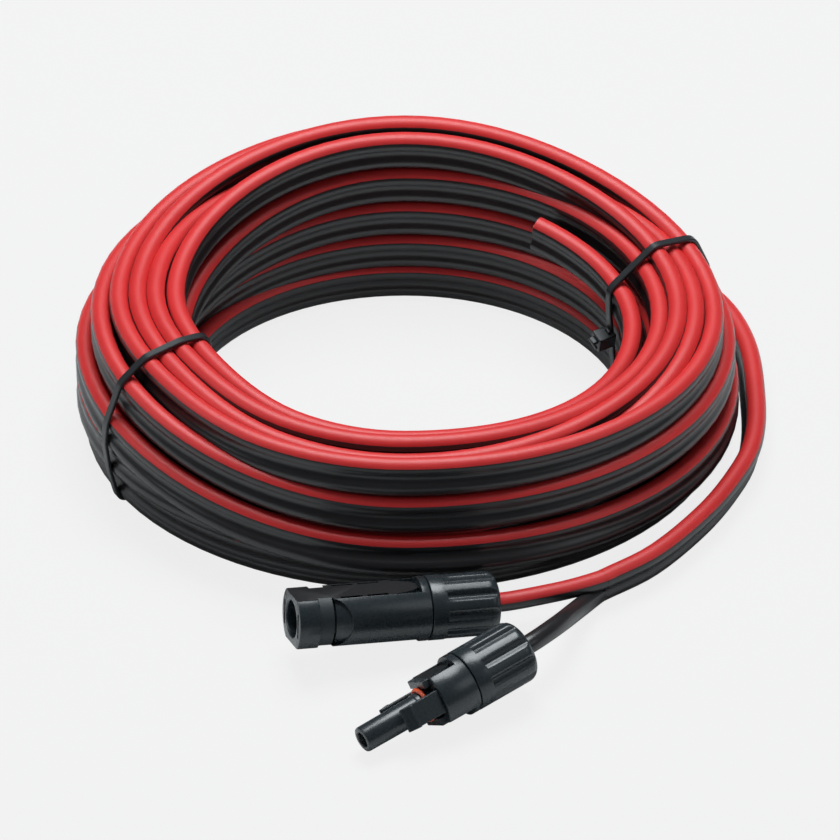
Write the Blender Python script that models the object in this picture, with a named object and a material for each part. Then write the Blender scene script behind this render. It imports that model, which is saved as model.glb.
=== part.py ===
"""Solar cable connector pair on a tied coil of twin solar cable.

World frame: metres, +Z up, the table is Z = 0. The origin is the bottom centre of
the two connectors' own box. Lengths below are in millimetres and are scaled by MM.
Each connector has its own frame: X runs along its axis from the back of the nut
to the mating end, Z is the normal of its flat strips, Y is its side.
"""
import math

import bmesh
import bpy
from mathutils import Euler, Vector

MM = 0.001

# --- driving dimensions, shared by both connectors -------------------------------
CORE_R = 3.0            # one insulated core of the twin cable
TWIN_R = 6.0            # half the width of the twin cable
GAP = 0.3               # clearance between pieces that touch
NUT_R = 9.75
NUT_LENGTH = 21.5
NUT_WALL = 1.45
NUT_BACK = 3.5          # thickness of the nut's back wall
NUT_SHOULDER = 3.0      # rounding of the nut's back edge
NUT_HOLE_R = 3.45
FLUTES = 10
FLUTE_START = 3.0
FLUTE_END = 16.5
FLUTE_FLOOR = 8.9
FLUTE_HALF_WIDTH = 2.2
EDGE = 0.4              # small chamfers on turned edges
SPIGOT_START = 10.0
SPIGOT_R = 7.9
CHAMBER_R = 6.1         # seal chamber inside the housing
CHAMBER_END = 28.0
CONTACT_HOLE_R = 4.1
BODY_START = 21.8
BODY_R = 9.7
STRIP_TIP = 24.2        # where the flat strips end, towards the nut
STRIP_WIDE = 30.4       # where they reach their full width
POCKET_DEPTH = 1.0
STRIP_TIP_HALF = 2.0    # half the width of the strips' rounded tip
CORE_END = 24.6         # where the insulation is stripped
CONDUCTOR_R = 1.5
BARREL_START = 25.6     # crimp barrels of the pin and the socket
BARREL_BORE_R = 1.85
CLIP_R = (3.05, 3.75)   # contact clips, inside and outside
PAST = 2.0              # how far a cutting tool reaches past the surface
STRIP_TOOL_REACH = (14.0, 12.0)

# --- shell connector (the wide mouth with the pin inside) ---------------------------
SHELL_LENGTH = 63.0
SHELL_FLAT = 7.5        # half the distance between its flat strips
SHELL_HEAD_R = 9.8
SHELL_HEAD_START = 56.5
SHELL_WAIST_R = 8.8
SHELL_WAIST_START = 52.0
MOUTH_R = 5.6
MOUTH_DEPTH = 23.0
PIN_R = 2.0
PIN_TIP = 57.8
PIN_COLLAR_R = 3.7
LATCH_SLOT = (6.8, 8.1)  # side wall distances of the latch channel
LATCH_SLOT_HALF = 3.8
LATCH_SLOT_START = 49.4
WINDOW = (50.2, 51.8)    # the barb's window in the side of the waist
SHELL_SLITS = [(32.5, 40.5), (42.0, 50.5)]
THUMB_LENGTH = 5.4       # scooped recess behind the waist
THUMB_HALF = 7.4
THUMB_DEPTH = 3.0

# --- probe connector (the long nose with the O-ring and two latch arms) -------------
PROBE_LENGTH = 58.8
PROBE_FLAT = 7.4
PROBE_FRONT = 33.5
PROBE_R = 4.15
PROBE_BORE_R = 2.95
PROBE_MOUTH_R = 2.4
TONGUE_END = 36.9
TONGUE_HALF = 5.3
TONGUE_INNER = 5.95
O_RING_X = 36.5
O_RING_R = 4.9
O_RING_WIRE = 0.72
ARM_PIVOT_X = 30.4
ARM_PIVOT_Y = 7.3
ARM_HALF = 3.65
ARM_POCKET = (5.8, 8.4)
ARM_OUTLINE = [(29.35, 6.5), (29.35, 8.05), (42.8, 8.05), (43.0, 9.0), (44.0, 9.0),
               (47.0, 7.6), (47.0, 6.9), (46.4, 6.7), (36.0, 6.7)]
SOCKET_R = (2.6, 2.1)

# --- where the connectors lie ------------------------------------------------------
# (X, Y, Z of the nut's back, roll, pitch up, heading in degrees)
SHELL_POSE = (25.2, 27.5, 9.66, 18.0, 6.3, 195.15)
PROBE_POSE = (33.4, 0.43, 14.04, 35.0, -7.8, 215.3)

# --- coil ----------------------------------------------------------------------------
COIL_CENTRE = (-1.46, 123.37)
COIL_IN = (65.8, 61.5)        # inner radius at the sides, and at the front and back
COIL_OUT_SIDE = 98.4
COIL_OUT_BACK = 80.5
COIL_OUT_FRONT = 87.0
COIL_FLOOR = 1.6
COIL_TOP_SIDE = 40.0
COIL_TOP_BACK = 61.5
COIL_TOP_FRONT = 51.0
TIE_WIDTH = 2.5
TIE_THICKNESS = 1.1
TIE_CORNER = 4.0
TIE_HEAD_HEIGHT = 15.0
TIE_HEAD = (4.2, 4.8, 5.6)
# each tie: angle round the coil, its distance in from the coil's inner wall, height of its top
TIE_LEFT = (-160, 0.4, 42.2)
TIE_RIGHT = (21, 6.8, 44.6)
CUT_END_ANGLES = (14, 48)     # the cable's bare start, along the inner wall
CUT_END_HEIGHT = 38.0

# --- loose cable, from the coil's centre on the table ------------------------------------
LOOP = [(20, 86.6, 6.1), (45, 80.5, 6.1), (68, 69, 6.1), (91, 53.5, 6.1), (102.5, 31, 6.1),
        (105.6, 2, 6.1), (104.6, -19.4, 6.1), (98.8, -36.5, 6.1), (88.6, -52.7, 6.1),
        (73.6, -69.1, 6.3), (54.8, -87.0, 6.9)]
RED_TAIL = [(52.0, -86.9, 9.35), (49.9, -88.9, 9.4), (43.6, -91.8, 9.1)]
BLACK_TAIL = [(54.8, -89.9, 4.5), (53.0, -92.0, 4.8), (49.6, -103.0, 9.0), (45.9, -112.5, 13.6)]
INTO_NUT = [(-9, 0, 0), (-3, 0, 0), (3, 0, 0), (12, 0, 0), (CORE_END, 0, 0)]


def clear_scene():
    """Start from an empty scene."""
    for old in list(bpy.data.objects):
        bpy.data.objects.remove(old, do_unlink=True)


def material(name, colour, roughness, metallic=0.0):
    """One Principled material."""
    made = bpy.data.materials.new(name)
    made.use_nodes = True
    shader = made.node_tree.nodes["Principled BSDF"]
    shader.inputs["Base Color"].default_value = (*colour, 1.0)
    shader.inputs["Roughness"].default_value = roughness
    shader.inputs["Metallic"].default_value = metallic
    made.diffuse_color = (*colour, 1.0)
    return made


def connector_frame(name, pose):
    """An empty whose X axis is the connector's axis."""
    x, y, z, roll, pitch, heading = pose
    frame = bpy.data.objects.new(name, None)
    frame.location = (x * MM, y * MM, z * MM)
    frame.rotation_euler = Euler([math.radians(a) for a in (roll, -pitch, heading)])
    bpy.context.collection.objects.link(frame)
    return frame


def finish_piece(name, mesh_data, surface, parent=None, origin=(0, 0, 0)):
    """Turn a bmesh in millimetres into a named object."""
    bmesh.ops.scale(mesh_data, vec=(MM, MM, MM), verts=mesh_data.verts)
    bmesh.ops.recalc_face_normals(mesh_data, faces=mesh_data.faces)
    mesh = bpy.data.meshes.new(name)
    mesh_data.to_mesh(mesh)
    mesh_data.free()
    mesh.shade_smooth()
    mesh.set_sharp_from_angle(angle=math.radians(32))
    piece = bpy.data.objects.new(name, mesh)
    if surface is not None:
        mesh.materials.append(surface)
    piece.parent = parent
    piece.location = Vector(origin) * MM
    bpy.context.collection.objects.link(piece)
    return piece


def turned(profile, steps=72):
    """A solid turned about X from (x, radius) points, closed or from axis to axis."""
    shape = bmesh.new()
    points = [shape.verts.new((x, 0, radius)) for x, radius in profile]
    pairs = list(zip(points, points[1:]))
    if profile[0][1] > 0:
        pairs.append((points[-1], points[0]))
    edges = [shape.edges.new(pair) for pair in pairs]
    bmesh.ops.spin(shape, geom=points + edges, cent=(0, 0, 0), axis=(1, 0, 0),
                   angle=math.tau, steps=steps, use_duplicate=False)
    bmesh.ops.remove_doubles(shape, verts=shape.verts, dist=1e-4)
    return shape


def arc(centre, radius, start, end, count):
    """Points of an arc in the profile plane, angles in degrees."""
    angles = [math.radians(start + (end - start) * i / count) for i in range(count + 1)]
    return [(centre[0] + radius * math.cos(a), centre[1] + radius * math.sin(a)) for a in angles]


def prism(outline, low, high, axis="Z"):
    """An outline in (x, y) or (x, z) pushed from low to high along the other axis."""
    shape = bmesh.new()

    def place(point, depth):
        if axis == "Z":
            return (point[0], point[1], depth)
        return (point[0], depth, point[1])

    face = shape.faces.new([shape.verts.new(place(point, low)) for point in outline])
    pushed = bmesh.ops.extrude_face_region(shape, geom=[face])
    moved = [item for item in pushed["geom"] if isinstance(item, bmesh.types.BMVert)]
    shift = Vector(place((0, 0), high - low))
    bmesh.ops.translate(shape, vec=shift, verts=moved)
    return shape


def add_box(shape, low, high, turn=0.0):
    """Add a box to a bmesh, turned about X by an angle in radians."""
    size = [b - a for a, b in zip(low, high)]
    middle = [(a + b) / 2 for a, b in zip(low, high)]
    made = bmesh.ops.create_cube(shape, size=1.0)["verts"]
    bmesh.ops.scale(shape, vec=size, verts=made)
    bmesh.ops.translate(shape, vec=middle, verts=made)
    if turn:
        sine, cosine = math.sin(turn), math.cos(turn)
        for vert in made:
            y, z = vert.co.y, vert.co.z
            vert.co.y, vert.co.z = y * cosine - z * sine, y * sine + z * cosine


def shape_with(target, tool, operation="DIFFERENCE"):
    """Cut or join a hidden tool object with a Boolean modifier."""
    tool.hide_render = True
    tool.display_type = "WIRE"
    step = target.modifiers.new(tool.name, "BOOLEAN")
    step.operation = operation
    step.use_self = True
    step.object = tool


def soften(target, width, angle=40):
    """Small bevel on the sharp edges."""
    step = target.modifiers.new("soft_edges", "BEVEL")
    step.width = width * MM
    step.segments = 2
    step.limit_method = "ANGLE"
    step.angle_limit = math.radians(angle)


def nut(name, frame, surface, turn):
    """Fluted gland nut with a rounded back shoulder, its flutes turned by an angle in degrees."""
    shoulder = arc((NUT_SHOULDER, NUT_R - NUT_SHOULDER), NUT_SHOULDER, 180, 90, 6)
    inner = NUT_R - NUT_WALL
    profile = [(0, NUT_HOLE_R + EDGE)] + shoulder
    profile += [(NUT_LENGTH - EDGE, NUT_R), (NUT_LENGTH, NUT_R - EDGE), (NUT_LENGTH, inner)]
    profile += [(NUT_BACK, inner), (NUT_BACK, NUT_HOLE_R), (EDGE, NUT_HOLE_R)]
    piece = finish_piece(name, turned(profile, 60), surface, frame)
    flutes = bmesh.new()
    for index in range(FLUTES):
        add_box(flutes, (FLUTE_START, -FLUTE_HALF_WIDTH, FLUTE_FLOOR),
                (FLUTE_END, FLUTE_HALF_WIDTH, NUT_R + PAST), math.tau * index / FLUTES - math.radians(turn))
    shape_with(piece, finish_piece(name + "_flutes", flutes, None, frame))
    return piece


def clamp_cage(name, frame, surface):
    """Collet that the nut pushes on to the cable: a ring with six fingers."""
    ring_r, finger_r, bore = 7.6, 5.7, 3.5
    front, taper, slot_half = 18.8, (1.5, 0.9), 0.55
    back, step = NUT_BACK + EDGE, SPIGOT_START - EDGE
    profile = [(back, bore), (back, ring_r), (step, ring_r), (step, finger_r)]
    profile += [(front - taper[0], finger_r), (front, finger_r - taper[1]), (front, bore)]
    piece = finish_piece(name, turned(profile, 36), surface, frame)
    slots = bmesh.new()
    for index in range(3):
        add_box(slots, (SPIGOT_START + 1, -slot_half, -ring_r - PAST),
                (front + PAST, slot_half, ring_r + PAST), math.pi * index / 3)
    shape_with(piece, finish_piece(name + "_slots", slots, None, frame))
    return piece


def gland_seal(name, frame, surface):
    """Ribbed rubber sleeve round the core."""
    start, end, bore, outer, ribs = 19.4, 27.6, 3.4, 5.75, 4
    profile = [(start, bore), (start, outer - EDGE)]
    pitch = (end - start) / ribs
    for index in range(ribs):
        rib = start + pitch * index
        profile += [(rib + 0.3, outer), (rib + pitch - 0.6, outer), (rib + pitch - 0.2, outer - 0.5)]
    profile += [(end, outer - 0.5), (end, bore)]
    return finish_piece(name, turned(profile, 36), surface, frame)


def conductor(name, frame, surface, end):
    """Bared copper inside the crimp barrel."""
    profile = [(CORE_END + GAP, 0), (CORE_END + GAP, CONDUCTOR_R), (end, CONDUCTOR_R), (end, 0)]
    return finish_piece(name, turned(profile, 24), surface, frame)


def contact_clip(name, frame, surface, start, end):
    """Split spring ring that holds the contact in its hole."""
    inner, outer = CLIP_R
    piece = finish_piece(name, turned([(start, inner), (start, outer), (end, outer), (end, inner)], 28),
                         surface, frame)
    slit = bmesh.new()
    add_box(slit, (start - PAST, -0.5, 0), (end + PAST, 0.5, outer + PAST))
    shape_with(piece, finish_piece(name + "_slit", slit, None, frame))
    return piece


def back_of_housing():
    """Profile points of the spigot and the back shoulder of the body."""
    return [(SPIGOT_START, CHAMBER_R), (SPIGOT_START, SPIGOT_R), (BODY_START, SPIGOT_R),
            (BODY_START, BODY_R - EDGE), (BODY_START + EDGE, BODY_R)]


def strip_tools(frame, name, flat, front, slit_range):
    """Tools for the flat strips: the flats, the corner pockets and the edge slits."""
    side = math.sqrt(BODY_R ** 2 - flat ** 2)
    above, aside = STRIP_TOOL_REACH
    slit_edge = (0.75, 0.3)
    shape = bmesh.new()
    for turn in (0, math.pi):
        add_box(shape, (STRIP_TIP, -side, flat), (STRIP_WIDE + 1, side, above), turn)
        add_box(shape, (STRIP_WIDE, -aside, flat), (front, aside, above), turn)
    tools = [finish_piece(name + "_flats", shape, None, frame)]
    for up in (1, -1):
        for across in (1, -1):
            edge = side * across
            tip = STRIP_TIP_HALF * across
            outline = [(STRIP_WIDE, edge), (STRIP_TIP, edge), (STRIP_TIP, tip * 1.45)]
            outline += [(STRIP_TIP + 1.3, tip), (STRIP_TIP + 2.6, tip * 1.3)]
            low, high = sorted((up * (flat - POCKET_DEPTH), up * above))
            tag = ("top" if up > 0 else "bottom") + ("_near" if across > 0 else "_far")
            tools.append(finish_piece(name + "_pocket_" + tag, prism(outline, low, high), None, frame))
            slit = bmesh.new()
            near, far = sorted(edge - inset * across for inset in slit_edge)
            for start, end in slit_range:
                add_box(slit, (start, near, low), (end, far, high))
            tools.append(finish_piece(name + "_slit_" + tag, slit, None, frame))
    return tools


def shell_housing(frame, surface):
    """Body of the shell connector with its mouth, latch channels and flat strips."""
    mouth = SHELL_LENGTH - MOUTH_DEPTH
    profile = back_of_housing()
    profile += [(SHELL_WAIST_START - 0.2, BODY_R), (SHELL_WAIST_START, SHELL_WAIST_R)]
    profile += [(SHELL_HEAD_START - 0.2, SHELL_WAIST_R), (SHELL_HEAD_START, SHELL_HEAD_R)]
    profile += [(SHELL_LENGTH - EDGE, SHELL_HEAD_R), (SHELL_LENGTH, SHELL_HEAD_R - EDGE)]
    profile += [(SHELL_LENGTH, MOUTH_R + EDGE), (SHELL_LENGTH - EDGE, MOUTH_R), (mouth, MOUTH_R)]
    profile += [(mouth, CONTACT_HOLE_R), (CHAMBER_END, CONTACT_HOLE_R), (CHAMBER_END, CHAMBER_R)]
    piece = finish_piece("shell_housing", turned(profile, 64), surface, frame)
    for tool in strip_tools(frame, "shell", SHELL_FLAT, SHELL_LENGTH + 1, SHELL_SLITS):
        shape_with(piece, tool)
    inner, outer = LATCH_SLOT
    half, above = LATCH_SLOT_HALF, BODY_R + PAST * 2
    for side in (1, -1):
        tag = "near" if side > 0 else "far"
        channel = bmesh.new()
        turn = 0 if side > 0 else math.pi
        add_box(channel, (LATCH_SLOT_START, inner, -half), (SHELL_LENGTH + 1, outer, half), turn)
        shape_with(piece, finish_piece("shell_channel_" + tag, channel, None, frame))
        window = bmesh.new()
        add_box(window, (WINDOW[0], inner + EDGE, -half), (WINDOW[1], above, half), turn)
        shape_with(piece, finish_piece("shell_window_" + tag, window, None, frame))
        thumb = [(SHELL_WAIST_START + EDGE - THUMB_LENGTH * x, THUMB_HALF * z)
                 for x, z in arc((0, 0), 1, 90, -90, 16)]
        low, high = sorted((side * THUMB_DEPTH, side * above))
        scoop = finish_piece("shell_thumb_" + tag, prism(thumb, low, high, "Y"), None, frame)
        start, end = SHELL_WAIST_START - THUMB_LENGTH * 2, SHELL_LENGTH - PAST
        core = turned([(start, 0), (start, SHELL_WAIST_R), (end, SHELL_WAIST_R), (end, 0)], 64)
        shape_with(scoop, finish_piece("shell_thumb_core_" + tag, core, None, frame))
        shape_with(piece, scoop)
    return piece


def contact_pin(frame, surface):
    """Turned pin with its crimp barrel."""
    barrel_r, collar_start, collar_end = 2.7, 34.0, 37.4
    profile = [(PIN_TIP, 0), (PIN_TIP - 0.2, 0.8), (PIN_TIP - 0.9, 1.5), (PIN_TIP - 2.4, PIN_R)]
    profile += [(collar_end, PIN_R), (collar_end - EDGE, PIN_COLLAR_R), (collar_start + EDGE, PIN_COLLAR_R)]
    profile += [(collar_start, barrel_r), (BARREL_START, barrel_r), (BARREL_START, BARREL_BORE_R)]
    profile += [(collar_start - 0.6, BARREL_BORE_R), (collar_start, 0)]
    return finish_piece("shell_contact_pin", turned(profile, 28), surface, frame)


def probe_housing(frame, surface):
    """Body of the probe connector: nose tube, O-ring seat, tongues and arm pockets."""
    seat = (O_RING_X - 1.0, O_RING_X + 1.0)
    seat_r = O_RING_R - O_RING_WIRE - GAP
    rim, root_r, lip, hole_end = 0.6, PROBE_R + 0.35, PROBE_LENGTH - 2, 31.6
    profile = back_of_housing()
    profile += [(PROBE_FRONT - rim, BODY_R), (PROBE_FRONT, BODY_R - rim), (PROBE_FRONT, PROBE_R + rim)]
    profile += [(seat[0], PROBE_R + rim), (seat[0], seat_r), (seat[1], seat_r), (seat[1], root_r)]
    profile += [(seat[1] + 1.2, root_r), (seat[1] + 1.6, PROBE_R)]
    profile += [(PROBE_LENGTH - EDGE, PROBE_R - 0.15), (PROBE_LENGTH, PROBE_R - rim)]
    profile += [(PROBE_LENGTH, PROBE_MOUTH_R + EDGE), (PROBE_LENGTH - EDGE, PROBE_MOUTH_R)]
    profile += [(lip, PROBE_MOUTH_R), (lip, PROBE_BORE_R), (hole_end, PROBE_BORE_R)]
    profile += [(hole_end, CONTACT_HOLE_R), (CHAMBER_END, CONTACT_HOLE_R), (CHAMBER_END, CHAMBER_R)]
    piece = finish_piece("probe_housing", turned(profile, 64), surface, frame)
    for tool in strip_tools(frame, "probe", PROBE_FLAT, PROBE_FRONT + 1, [(31.4, 34.0)]):
        shape_with(piece, tool)
    for side in (1, -1):
        tag = "near" if side > 0 else "far"
        pocket = bmesh.new()
        turn = 0 if side > 0 else math.pi
        start, half = ARM_OUTLINE[0][0] - 0.35, ARM_HALF + GAP
        add_box(pocket, (start, ARM_POCKET[0], -half), (PROBE_FRONT + 1, ARM_POCKET[1], half), turn)
        shape_with(piece, finish_piece("probe_arm_pocket_" + tag, pocket, None, frame))
        tongue = bmesh.new()
        add_box(tongue, (PROBE_FRONT - PAST, -TONGUE_HALF, TONGUE_INNER),
                (TONGUE_END, TONGUE_HALF, PROBE_FLAT), turn)
        shape_with(piece, finish_piece("probe_tongue_" + tag, tongue, None, frame), "UNION")
    return piece


def latch_arm(name, frame, surface, side):
    """Spring arm with an outward barb. Its origin is on its flexing axis."""
    placed = [(x - ARM_PIVOT_X, side * (y - ARM_PIVOT_Y)) for x, y in ARM_OUTLINE]
    origin = (ARM_PIVOT_X, side * ARM_PIVOT_Y, 0)
    piece = finish_piece(name, prism(placed, -ARM_HALF, ARM_HALF), surface, frame, origin)
    soften(piece, 0.2)
    return piece


def o_ring(frame, surface):
    """Rubber ring in its seat behind the nose."""
    wire = arc((O_RING_X, O_RING_R), O_RING_WIRE, 0, 330, 11)
    return finish_piece("probe_o_ring", turned(wire, 40), surface, frame)


def contact_socket(frame, surface):
    """Turned socket with its crimp barrel."""
    outer, bore = SOCKET_R
    front, floor, barrel_end = PROBE_LENGTH - 2.4, 36.0, 31.2
    profile = [(floor, 0), (floor + EDGE, bore), (front - 0.3, bore), (front, bore + 0.2), (front, outer)]
    profile += [(BARREL_START, outer), (BARREL_START, BARREL_BORE_R)]
    profile += [(barrel_end - 0.6, BARREL_BORE_R), (barrel_end, 0)]
    return finish_piece("probe_contact_socket", turned(profile, 36), surface, frame)


def smooth_route(points, spacing):
    """Points read from a Catmull-Rom curve through the route's own points."""
    way = [Vector(p) for p in points]
    way = [way[0] * 2 - way[1]] + way + [way[-1] * 2 - way[-2]]
    dense = []
    for a, b, c, d in zip(way, way[1:], way[2:], way[3:]):
        for index in range(24):
            t = index / 24
            dense.append(0.5 * (2 * b + (c - a) * t + (2 * a - 5 * b + 4 * c - d) * t * t
                                + (3 * b - a - 3 * c + d) * t ** 3))
    dense.append(way[-2])
    lengths = [0.0]
    for a, b in zip(dense, dense[1:]):
        lengths.append(lengths[-1] + (b - a).length)
    count = max(2, round(lengths[-1] / spacing))
    picked, index = [], 0
    for step in range(count + 1):
        target = lengths[-1] * step / count
        while index < len(dense) - 2 and lengths[index + 1] < target:
            index += 1
        share = (target - lengths[index]) / (lengths[index + 1] - lengths[index])
        picked.append(dense[index].lerp(dense[index + 1], share))
    return picked


def cord_tube(name, points, radius, surface):
    """A free stretch of cable as a bevelled curve through world points in millimetres."""
    route = smooth_route(points, radius * 2.6)
    line = bpy.data.curves.new(name, "CURVE")
    line.dimensions = "3D"
    line.bevel_depth = radius * MM
    line.bevel_resolution = 2
    line.use_fill_caps = True
    strand = line.splines.new("POLY")
    strand.points.add(len(route) - 1)
    for knot, place in zip(strand.points, route):
        knot.co = (*(place * MM), 1.0)
    line.materials.append(surface)
    piece = bpy.data.objects.new(name, line)
    bpy.context.collection.objects.link(piece)
    return piece


def in_world(pose, points):
    """World millimetres of points given in a connector's frame."""
    x, y, z, roll, pitch, heading = pose
    turn = Euler([math.radians(a) for a in (roll, -pitch, heading)]).to_matrix()
    return [turn @ Vector(p) + Vector((x, y, z)) for p in points]


def from_coil(points):
    """World millimetres of points given from the coil's centre on the table."""
    return [Vector((x + COIL_CENTRE[0], y + COIL_CENTRE[1], z)) for x, y, z in points]


def tails(red, black):
    """The two cores from the split into their connectors."""
    cord_tube("core_red_tail", from_coil(RED_TAIL) + in_world(SHELL_POSE, INTO_NUT), CORE_R, red)
    cord_tube("core_black_tail", from_coil(BLACK_TAIL) + in_world(PROBE_POSE, INTO_NUT), CORE_R, black)


def closed_rings(rings, capped):
    """A bmesh over rings of points, joined end to end or capped."""
    shape = bmesh.new()
    rows = [[shape.verts.new(point) for point in ring] for ring in rings]
    pairs = list(zip(rows, rows[1:])) if capped else list(zip(rows, rows[1:] + rows[:1]))
    for row, following in pairs:
        for index in range(len(row)):
            ahead = (index + 1) % len(row)
            shape.faces.new((row[index], row[ahead], following[ahead], following[index]))
    if capped:
        shape.faces.new(rows[0][::-1])
        shape.faces.new(rows[-1])
    return shape


def coil_size(angle):
    """Inner radius, outer radius and top height of the coil at an angle."""
    across, along = math.cos(angle), math.sin(angle)
    inner = 1 / math.hypot(across / COIL_IN[0], along / COIL_IN[1])
    out_y = COIL_OUT_BACK if along > 0 else COIL_OUT_FRONT
    outer = 1 / math.hypot(across / COIL_OUT_SIDE, along / out_y)
    end_top = COIL_TOP_BACK if along > 0 else COIL_TOP_FRONT
    top = COIL_TOP_SIDE + (end_top - COIL_TOP_SIDE) * along ** 2
    return inner, outer, top


def round_box(low, high, corner, count):
    """Outline of an upright box with rounded corners, in (distance, height)."""
    left, right = low[0] + corner, high[0] - corner
    bottom, top = low[1] + corner, high[1] - corner
    outline = []
    centres = ((right, top), (left, top), (left, bottom), (right, bottom))
    for index, centre in enumerate(centres):
        outline += arc(centre, corner, 90 * index, 90 * index + 90, count)
    return outline


def on_ray(angle, outline):
    """World points of a (distance, height) outline standing on a ray from the coil's centre."""
    across, along = math.cos(angle), math.sin(angle)
    return [Vector((COIL_CENTRE[0] + r * across, COIL_CENTRE[1] + r * along, z)) for r, z in outline]


def coil_ring(surface):
    """The outer shape of the wound turns as one turned ring."""
    steps, corner = 72, 4.0
    rings = []
    for step in range(steps):
        angle = math.tau * step / steps
        inner, outer, top = coil_size(angle)
        rings.append(on_ray(angle, round_box((inner, COIL_FLOOR), (outer, top), corner, 3)))
    return finish_piece("twin_cable_coil", closed_rings(rings, False), surface)


def cable_tie(name, place, surface):
    """Strap round the coil, and the cut end where it passes, in a plane through the centre."""
    angle, inward, top = math.radians(place[0]), place[1], place[2]
    inner, outer, _ = coil_size(angle)
    start, finish = on_ray(angle, [(inner - inward, 0), (outer + EDGE, 0)])
    reach = finish - start
    low, half, thick = TIE_THICKNESS + 0.05, TIE_WIDTH / 2, TIE_THICKNESS
    inside = round_box((0, low), (reach.length, top), TIE_CORNER, 5)
    outside = round_box((-thick, low - thick), (reach.length + thick, top + thick), TIE_CORNER + thick, 5)
    rings = [[(a[0], -half, a[1]), (a[0], half, a[1]), (b[0], half, b[1]), (b[0], -half, b[1])]
             for a, b in zip(inside, outside)]
    piece = finish_piece(name, closed_rings(rings, False), surface)
    deep, wide, tall = TIE_HEAD
    head = bmesh.new()
    add_box(head, (-deep - EDGE, -wide / 2, TIE_HEAD_HEIGHT - tall / 2),
            (-EDGE, wide / 2, TIE_HEAD_HEIGHT + tall / 2))
    block = finish_piece(name + "_head", head, None)
    for part in (piece, block):
        part.location = start * MM
        part.rotation_euler = (0, 0, math.atan2(reach.y, reach.x))
    shape_with(piece, block, "UNION")
    return piece


def cut_end(jacket, copper):
    """The bare start of the twin cable on edge along the inner wall, with its two cut conductors."""
    steps = 10
    first, last = (math.radians(a) for a in CUT_END_ANGLES)
    rings, middles = [], []
    for step in range(steps + 1):
        angle = first + (last - first) * step / steps
        middle = coil_size(angle)[0] - CORE_R - GAP
        low, high = CUT_END_HEIGHT - TWIN_R, CUT_END_HEIGHT + TWIN_R
        rings.append(on_ray(angle, round_box((middle - CORE_R, low), (middle + CORE_R, high), CORE_R, 5)))
        middles.append(on_ray(angle, [(middle, CUT_END_HEIGHT)])[0])
    finish_piece("cut_end_cable", closed_rings(rings, True), jacket)
    end, before = middles[-1], middles[-2]
    ahead = (end - before).normalized()
    for name, lift in (("cut_end_copper_red", CORE_R), ("cut_end_copper_black", -CORE_R)):
        profile = [(GAP, 0), (GAP, CONDUCTOR_R), (GAP + 0.8, CONDUCTOR_R), (GAP + 0.8, 0)]
        piece = finish_piece(name, turned(profile, 20), copper)
        piece.location = (end + Vector((0, 0, lift))) * MM
        piece.rotation_euler = (0, 0, math.atan2(ahead.y, ahead.x))


def build():
    """Model every piece."""
    clear_scene()
    black = material("black_plastic", (0.022, 0.024, 0.027), 0.38)
    grey = material("grey_plastic", (0.09, 0.095, 0.1), 0.5)
    rubber = material("seal_rubber", (0.05, 0.05, 0.052), 0.75)
    orange = material("o_ring_rubber", (0.75, 0.12, 0.04), 0.45)
    tinned = material("tinned_copper", (0.78, 0.76, 0.72), 0.25, 1.0)
    steel = material("spring_steel", (0.6, 0.6, 0.62), 0.3, 1.0)
    copper = material("copper_strands", (0.8, 0.4, 0.22), 0.35, 1.0)
    red_jacket = material("red_jacket", (0.55, 0.02, 0.03), 0.5)
    black_jacket = material("black_jacket", (0.025, 0.025, 0.027), 0.55)
    tie_nylon = material("tie_nylon", (0.03, 0.03, 0.032), 0.45)

    shell = connector_frame("shell_frame", SHELL_POSE)
    shell_housing(shell, black)
    nut("shell_nut", shell, black, 16)
    clamp_cage("shell_clamp_cage", shell, grey)
    gland_seal("shell_gland_seal", shell, rubber)
    contact_pin(shell, tinned)
    contact_clip("shell_contact_clip", shell, steel, 29.0, 33.4)
    conductor("shell_conductor", shell, copper, 33.2)

    probe = connector_frame("probe_frame", PROBE_POSE)
    probe_housing(probe, black)
    nut("probe_nut", probe, black, -2)
    clamp_cage("probe_clamp_cage", probe, grey)
    gland_seal("probe_gland_seal", probe, rubber)
    latch_arm("probe_latch_near", probe, black, 1)
    latch_arm("probe_latch_far", probe, black, -1)
    o_ring(probe, orange)
    contact_socket(probe, tinned)
    contact_clip("probe_contact_clip", probe, steel, 28.4, 31.2)
    conductor("probe_conductor", probe, copper, 30.2)

    tails(red_jacket, black_jacket)
    cord_tube("twin_cable_loop", from_coil(LOOP), TWIN_R, black_jacket)
    coil_ring(black_jacket)
    cable_tie("cable_tie_left", TIE_LEFT, tie_nylon)
    cable_tie("cable_tie_right", TIE_RIGHT, tie_nylon)
    cut_end(black_jacket, copper)


build()
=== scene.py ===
"""Looks of the solar cable connector pair on its tied coil of twin solar cable.

Lengths are in millimetres until MM turns them into the frame's metres. Points of the
coil and of the loose cable are given from the coil's centre on the table, and points
of a connector in its own frame: X along its axis from the back of the nut to the
mating end, Z the normal of its flat strips, Y its side.
"""
import math

import bmesh
import bpy
from mathutils import Euler, Matrix, Vector


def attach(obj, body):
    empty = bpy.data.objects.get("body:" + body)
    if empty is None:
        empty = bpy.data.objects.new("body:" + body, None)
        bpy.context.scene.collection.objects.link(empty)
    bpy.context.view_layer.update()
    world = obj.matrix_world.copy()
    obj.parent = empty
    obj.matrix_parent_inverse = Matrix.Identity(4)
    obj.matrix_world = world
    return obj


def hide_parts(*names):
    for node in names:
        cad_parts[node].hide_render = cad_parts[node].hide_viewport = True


MM = 0.001
UP = Vector((0, 0, 1))

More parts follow.
